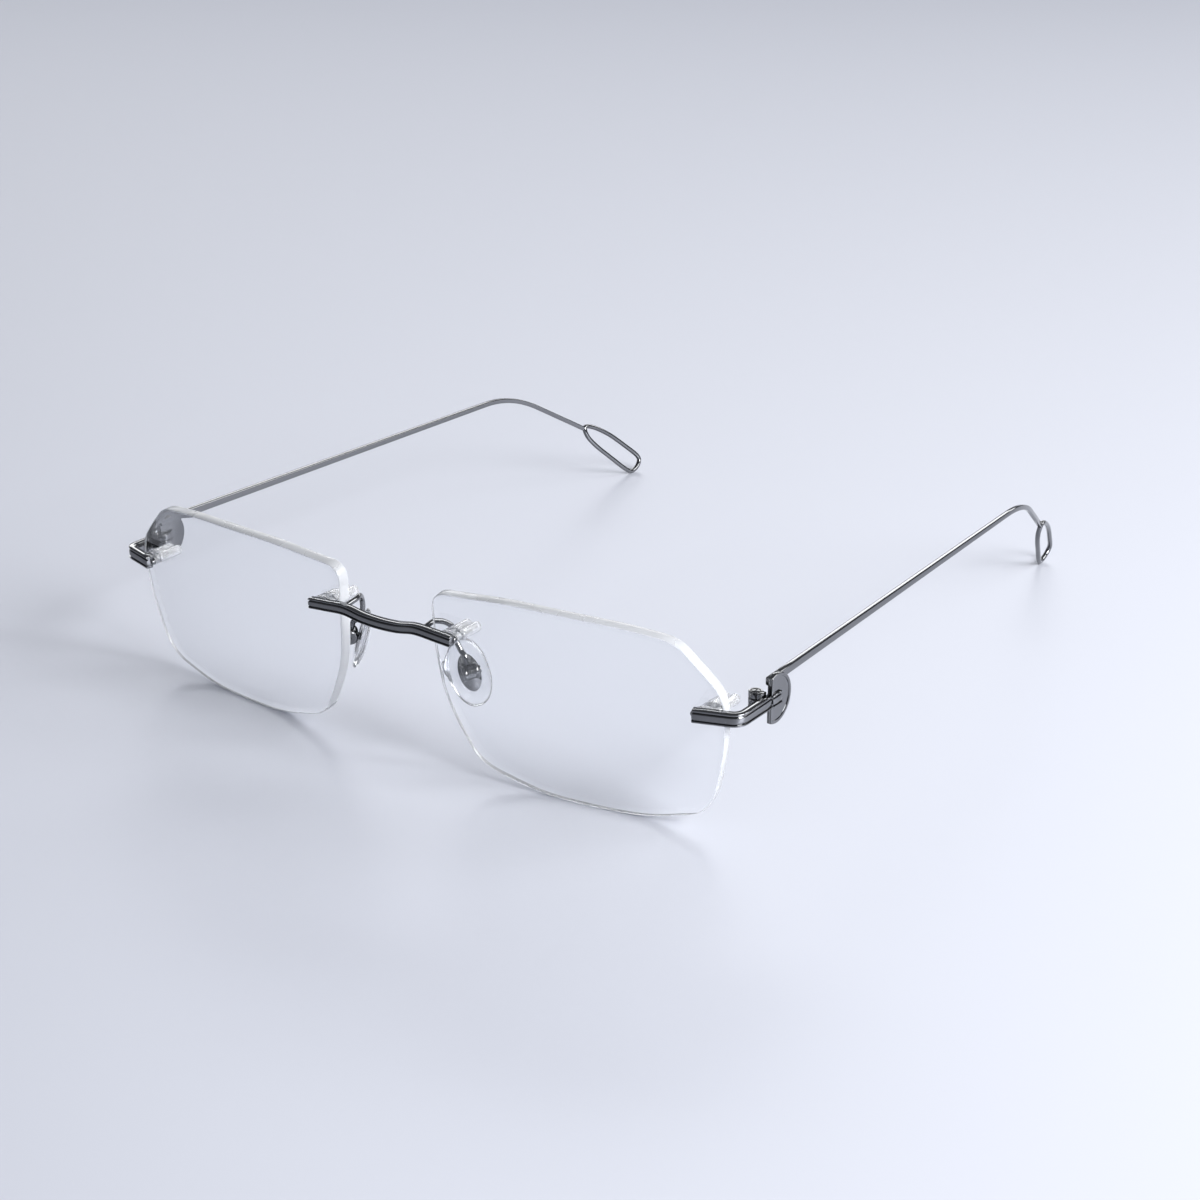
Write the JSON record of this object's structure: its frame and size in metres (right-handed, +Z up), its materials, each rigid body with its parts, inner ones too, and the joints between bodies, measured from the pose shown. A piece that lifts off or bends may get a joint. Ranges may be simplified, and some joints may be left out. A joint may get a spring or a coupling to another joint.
{
  "type": "eyeglasses",
  "caption": "Rimless eyeglasses with drilled clear lenses, a reeded metal bridge, silicone nose pads and folding temples ending in open loops.",
  "frame": {"origin": "on the surface it stands on, under the centre of the bounding box", "axes": "+X to the wearer's left, +Y backwards along the temples, +Z up"},
  "size_m": [0.1398, 0.1636, 0.0366],
  "materials": {
    "steel": "polished",
    "lens": "clear, polished",
    "plastic": "clear",
    "silicone": "clear satin"
  },
  "bodies": {
    "front": {"bridge": "steel", "left_lens": "lens", "left_bridge_washer": "plastic", "left_bridge_sleeve": "plastic", "left_endpiece_washer": "plastic", "left_endpiece_sleeve": "plastic", "left_pad_arm": "steel", "left_pad_screw": "steel", "left_endpiece": "steel", "left_hinge_screw": "steel", "right_lens": "lens", "right_bridge_washer": "plastic", "right_bridge_sleeve": "plastic", "right_endpiece_washer": "plastic", "right_endpiece_sleeve": "plastic", "right_pad_arm": "steel", "right_pad_screw": "steel", "right_endpiece": "steel", "right_hinge_screw": "steel"},
    "left_temple": {"left_temple": "steel"},
    "right_temple": {"right_temple": "steel"},
    "left_nose_pad": {"left_nose_pad": "silicone", "left_pad_core": "steel"},
    "right_nose_pad": {"right_nose_pad": "silicone", "right_pad_core": "steel"}
  },
  "joints": [
    {"name": "left_temple_fold", "type": "hinge", "parent": "front", "child": "left_temple", "pos_m": [0.06692, -0.06462, 0.02355], "axis": [0, 0, 1], "range_deg": [0, 85]},
    {"name": "right_temple_fold", "type": "hinge", "parent": "front", "child": "right_temple", "pos_m": [-0.06692, -0.06462, 0.02355], "axis": [0, 0, -1], "range_deg": [0, 87.5]},
    {"name": "left_pad_rock", "type": "hinge", "parent": "front", "child": "left_nose_pad", "pos_m": [0.0142, -0.07286, 0.019], "axis": [-0.6168, -0.742, -0.2627], "range_deg": [-5, 10]},
    {"name": "right_pad_rock", "type": "hinge", "parent": "front", "child": "right_nose_pad", "pos_m": [-0.0142, -0.07286, 0.019], "axis": [-0.6168, 0.742, 0.2627], "range_deg": [-5, 10]}
  ]
}
